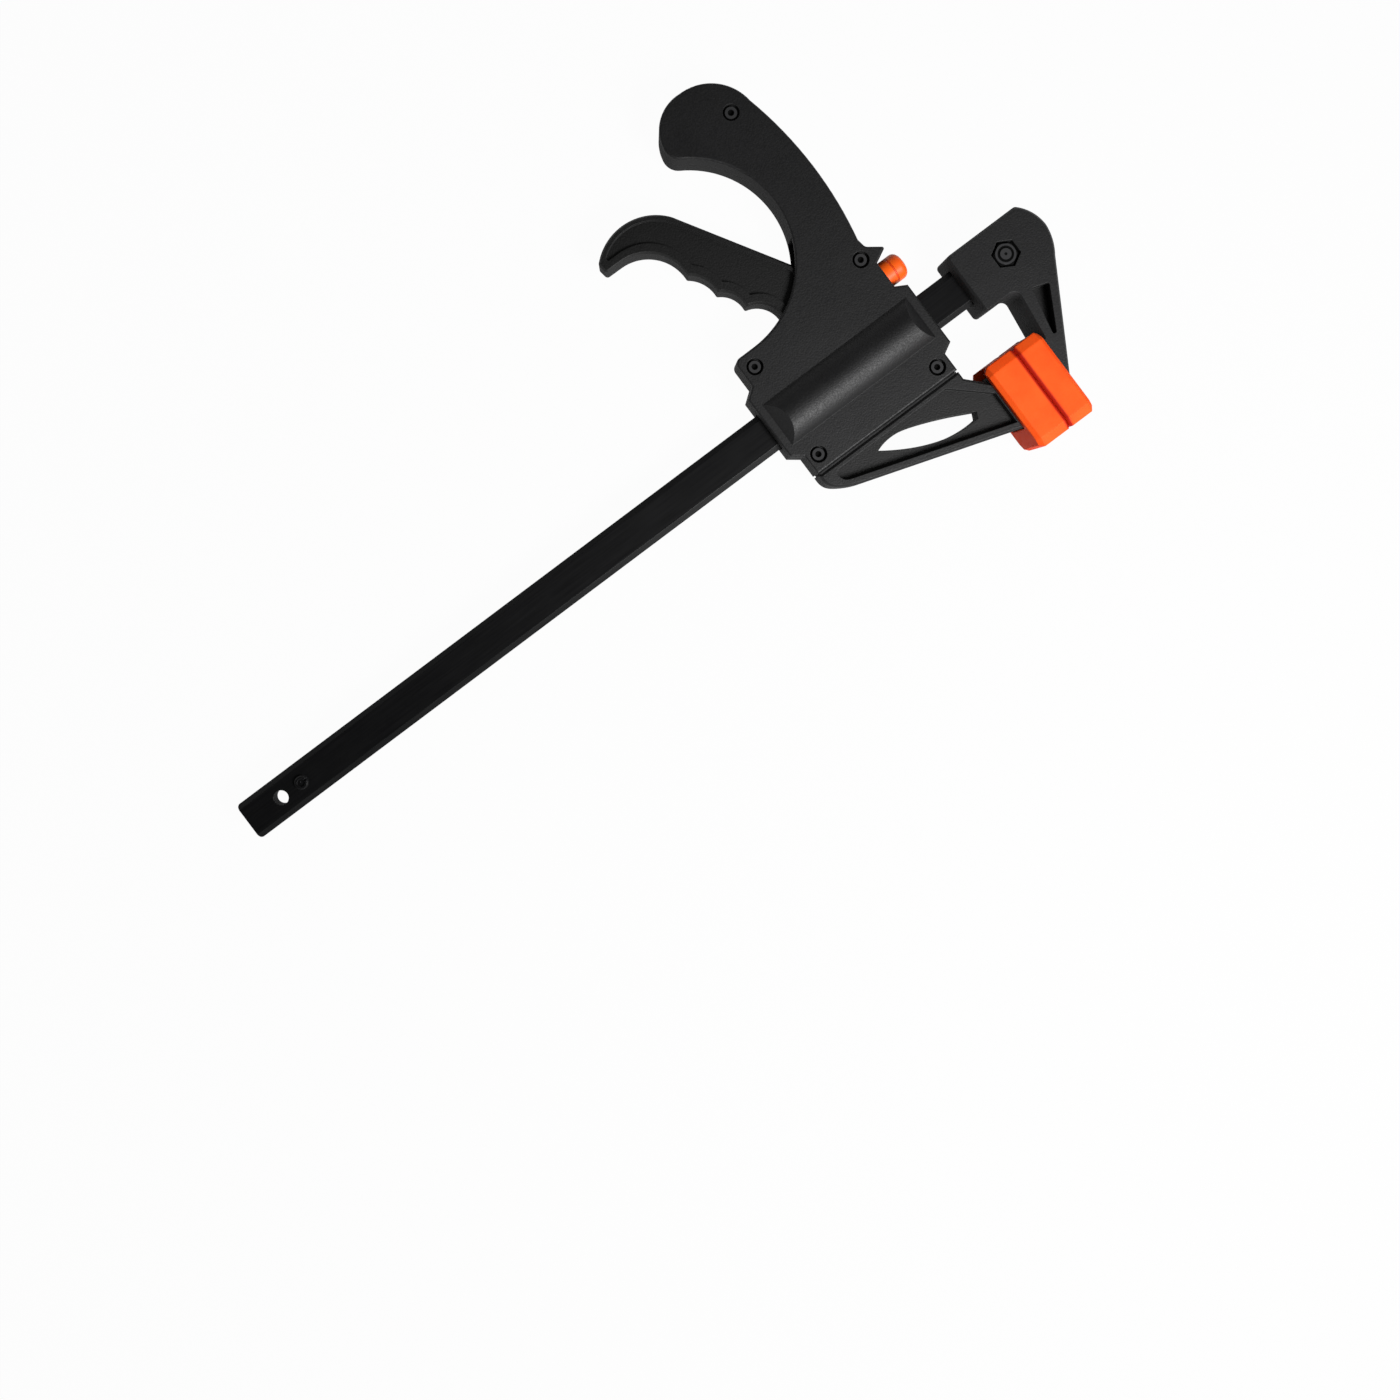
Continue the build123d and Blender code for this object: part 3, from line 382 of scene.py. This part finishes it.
def button_plastic(name):
    """Orange moulded plastic with a soft gloss and a groove round its head, painted darker as
    shade.
    """
    finish = Finish(name, specular=0.35)
    cloud = finish.remap(finish.noise(size=5 * MM, detail=3.0), *NOISE_RANGE)
    grain = finish.noise(size=0.25 * MM)
    from_groove = finish.math("SUBTRACT", finish.part(finish.place, "X"), BUTTON_GROOVE_X)
    groove = finish.line(from_groove, BUTTON_GROOVE_HALF)
    tone = finish.mix(cloud, linear(BUTTON_ORANGE), linear(PAD_ORANGE))
    # painted shade: the groove is a deeper orange
    colour = finish.mix(groove, tone, linear(BUTTON_GROOVE_SHADE))
    outside_groove = finish.math("SUBTRACT", 1.0, groove)
    finish.relief(
        (grain, 0.008 * MM), (outside_groove, BUTTON_GROOVE_DEPTH), edge_radius=0.6 * MM
    )
    roughness = finish.remap(grain, *NOISE_RANGE, to_low=0.34, to_high=0.46)
    return finish.surface(colour, roughness)


def fastener(name, face):
    """Black oxide on a machined fastener. Its faces are rubbed grey; its hollows are painted black
    as shade.

    The face is a function that takes the finish and gives 1 on the rubbed faces.
    """
    finish = Finish(name, specular=0.15)
    turned = finish.noise(size=0.4 * MM, detail=4.0)
    rubbed = face(finish)
    patches = finish.remap(turned, *FASTENER_WEAR_RANGE)
    worn_edges = finish.edges(radius=0.25 * MM, strength=patches)
    worn = finish.math("MULTIPLY", worn_edges, rubbed)
    # the rubbed faces are grey; the sockets, chamfers and the ring round the bolt are painted
    # black as shade
    tone = finish.mix(rubbed, linear(FASTENER_BLACK_AND_SHADE), linear(FASTENER_GREY))
    colour = finish.mix(worn, tone, linear(FASTENER_WORN))
    finish.relief((turned, 0.01 * MM), edge_radius=0.15 * MM)
    roughness = finish.remap(rubbed, 0.0, 1.0, to_low=0.95, to_high=0.45)
    return finish.surface(colour, roughness)


def screw_face(finish):
    """1 on the flat ring of each screw's head, round its socket."""
    rings = [finish.ring(spot, SCREW_SOCKET_RADIUS, SCREW_FACE_RADIUS) for spot in SCREW_SPOTS]
    face = rings[0]
    for ring in rings[1:]:
        face = finish.math("MAXIMUM", face, ring)
    return face


def nut_face(finish):
    """1 on the nut's turned face, outside the dark ring where the bolt comes through."""
    return finish.ring(JAW_BOLT_SPOT, NUT_THREAD_RADIUS, NUT_FACE_RADIUS)


def bolt_face(finish):
    """1 on the bolt's end, inside its chamfer and outside its centre mark."""
    return finish.ring(JAW_BOLT_SPOT, BOLT_MARK_RADIUS, BOLT_FACE_RADIUS)


def bright_steel(name):
    """Bare ground steel for the plates, the springs and the trigger's pin inside."""
    finish = Finish(name, metallic=1.0)
    scratches = finish.noise(size=0.15 * MM, detail=3.0, stretch=(1, 30, 1))
    cloud = finish.remap(finish.noise(size=4 * MM, detail=4.0), *NOISE_RANGE)
    colour = finish.mix(cloud, linear(PLATE_STEEL_DULL), linear(PLATE_STEEL))
    finish.relief((scratches, 0.006 * MM), edge_radius=0.2 * MM)
    roughness = finish.remap(scratches, *NOISE_RANGE, to_low=0.26, to_high=0.4)
    return finish.surface(colour, roughness)


finishes = {
    "body_plastic": moulded_black("moulded_black"),
    "bar_steel": blackened_steel("blackened_steel"),
    "pad_rubber": pad_rubber("orange_elastomer"),
    "button_plastic": button_plastic("orange_button"),
    "fastener_steel": fastener("black_oxide_screw", screw_face),
    "bright_steel": bright_steel("ground_steel"),
}
for piece in nodes.values():
    for place in piece.material_slots:
        place.material = finishes[place.material.name]
nodes["jaw_nut"].material_slots[0].material = fastener("black_oxide_nut", nut_face)
nodes["jaw_bolt"].material_slots[0].material = fastener("black_oxide_bolt", bolt_face)

# ---- springs and the stop pin's inner turns ---------------------------------------------------


def spring_coil(name):
    """A copy of the spring that rides on the housing in place of the CAD spring."""
    spring = nodes[name]
    coil = bpy.data.objects.new(name + "_coil", spring.data.copy())
    bpy.context.scene.collection.objects.link(coil)
    coil.matrix_world = spring.matrix_world.copy()
    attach(coil, "housing")
    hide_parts(name)
    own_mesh(coil)


def strip_radii(step):
    """Inner and outer radius of the stop pin's strip at a step of its winding."""
    wound = PIN_BORE_RADIUS + step / PIN_STEPS * (PIN_HEART_RADIUS - PIN_BORE_RADIUS)
    outer = wound
    if step <= PIN_STEPS / PIN_TURNS:
        outer = PIN_BORE_RADIUS         # the first turn lies against the bore
    if step <= PIN_END_STEPS:
        outer = PIN_END_RADIUS
    return wound - PIN_STRIP, outer


def inner_turns():
    """The rolled stop pin's strip winds on inside its bore, and leaves no way for light."""
    mesh = bmesh.new()
    last = None
    for step in range(PIN_STEPS + 1):
        angle = (step - PIN_END_STEPS / 2) / PIN_STEPS * PIN_TURNS * 2 * pi
        inner, outer = strip_radii(step)
        section = [
            mesh.verts.new((PIN_X + radius * cos(angle), radius * sin(angle), height))
            for radius, height in (
                (outer, -PIN_TURNS_HALF),
                (outer, PIN_TURNS_HALF),
                (inner, PIN_TURNS_HALF),
                (inner, -PIN_TURNS_HALF),
            )
        ]
        if last:
            for side in range(len(section)):
                mesh.faces.new((last[side - 1], last[side], section[side], section[side - 1]))
        if step in (0, PIN_STEPS):
            mesh.faces.new(section)
        last = section
    bmesh.ops.recalc_face_normals(mesh, faces=mesh.faces[:])
    data = bpy.data.meshes.new("stop_pin_turns")
    mesh.to_mesh(data)
    mesh.free()
    data.materials.append(finishes["bar_steel"])
    turns = bpy.data.objects.new("stop_pin_turns", data)
    bpy.context.scene.collection.objects.link(turns)
    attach(turns, "bar")


spring_coil("drive_spring")
spring_coil("brake_spring")
inner_turns()

# ---- floor, world and lamp --------------------------------------------------------------------


def sees_backdrop(tree):
    """1 for the rays that show the backdrop: the camera's, and those of gloss and glass."""
    path = add_node(tree, "ShaderNodeLightPath")
    seen = path.outputs["Is Camera Ray"]
    for ray in ("Is Glossy Ray", "Is Transmission Ray"):
        larger = add_node(
            tree, "ShaderNodeMath", {0: seen, 1: path.outputs[ray]}, operation="MAXIMUM"
        )
        seen = larger.outputs["Value"]
    return seen


def pale_floor():
    """A pale floor under the clamp. It shows nearly white and keeps a soft shadow."""
    bpy.ops.mesh.primitive_plane_add(size=FLOOR_SIZE, location=(*FLOOR_CENTRE, cad_low.z))
    floor = bpy.context.object
    floor.name = "floor"
    finish = Finish("pale_floor", specular=0.0)
    finish.surface((FLOOR_GREY, FLOOR_GREY, FLOOR_GREY, 1.0), FLOOR_ROUGHNESS)
    share = finish.math("MULTIPLY", sees_backdrop(finish.tree), FLOOR_GLOW)
    glow = finish.node("ShaderNodeEmission", {"Color": WHITE, "Strength": PLAIN_WHITE})
    mixer = finish.node(
        "ShaderNodeMixShader",
        {0: share, 1: finish.shader.outputs["BSDF"], 2: glow.outputs["Emission"]},
    )
    feed(finish.tree, finish.tree.nodes["Material Output"].inputs["Surface"], mixer.outputs[0])
    floor.data.materials.append(finish.material)


def studio_world():
    """Dim light from all round. The camera and reflections see a white backdrop instead.

    The backdrop reaches from below up to a low height above the horizon.
    """
    world = bpy.data.worlds.new("studio")
    bpy.context.scene.world = world
    world.use_nodes = True
    tree = world.node_tree
    direction = add_node(tree, "ShaderNodeTexCoord").outputs["Generated"]
    height = add_node(tree, "ShaderNodeSeparateXYZ", {"Vector": direction}).outputs["Z"]
    low = add_node(
        tree,
        "ShaderNodeMapRange",
        {"Value": height, "From Min": BACKDROP_TOP, "From Max": BACKDROP_FULL},
    ).outputs["Result"]
    share = add_node(
        tree, "ShaderNodeMath", {0: low, 1: sees_backdrop(tree)}, operation="MULTIPLY"
    ).outputs["Value"]
    strength = add_node(
        tree,
        "ShaderNodeMapRange",
        {"Value": share, "To Min": CEILING_LEVEL, "To Max": PLAIN_WHITE},
    ).outputs["Result"]
    background = tree.nodes["Background"]
    background.inputs["Color"].default_value = WHITE
    feed(tree, background.inputs["Strength"], strength)


def key_lamp():
    """One soft square lamp that faces the middle of the clamp."""
    towards = Vector(
        (
            sin(KEY_LEAN) * cos(KEY_AZIMUTH),
            sin(KEY_LEAN) * sin(KEY_AZIMUTH),
            cos(KEY_LEAN),
        )
    )
    data = bpy.data.lights.new("key", "AREA")
    data.shape = "SQUARE"
    data.size = KEY_SIZE
    data.energy = KEY_LEVEL * pi**2 * KEY_DISTANCE**2
    light = bpy.data.objects.new("key", data)
    bpy.context.scene.collection.objects.link(light)
    light.location = (cad_low + cad_high) / 2 + towards * KEY_DISTANCE
    light.rotation_euler = towards.to_track_quat("Z", "Y").to_euler()


pale_floor()
studio_world()
key_lamp()

# ---- camera and hand over ---------------------------------------------------------------------

camera_data = bpy.data.cameras.new("camera")
camera_data.lens = LENS_MM
camera_data.sensor_width = SENSOR_MM
camera_data.shift_x, camera_data.shift_y = CAMERA_SHIFT
camera_data.clip_start = CLIP_START
camera = bpy.data.objects.new("camera", camera_data)
bpy.context.scene.collection.objects.link(camera)
camera.location = CAMERA_PLACE
camera.rotation_euler = (0.0, 0.0, CAMERA_TURN)
bpy.context.scene.camera = camera
bpy.context.scene.view_settings.view_transform = "Standard"
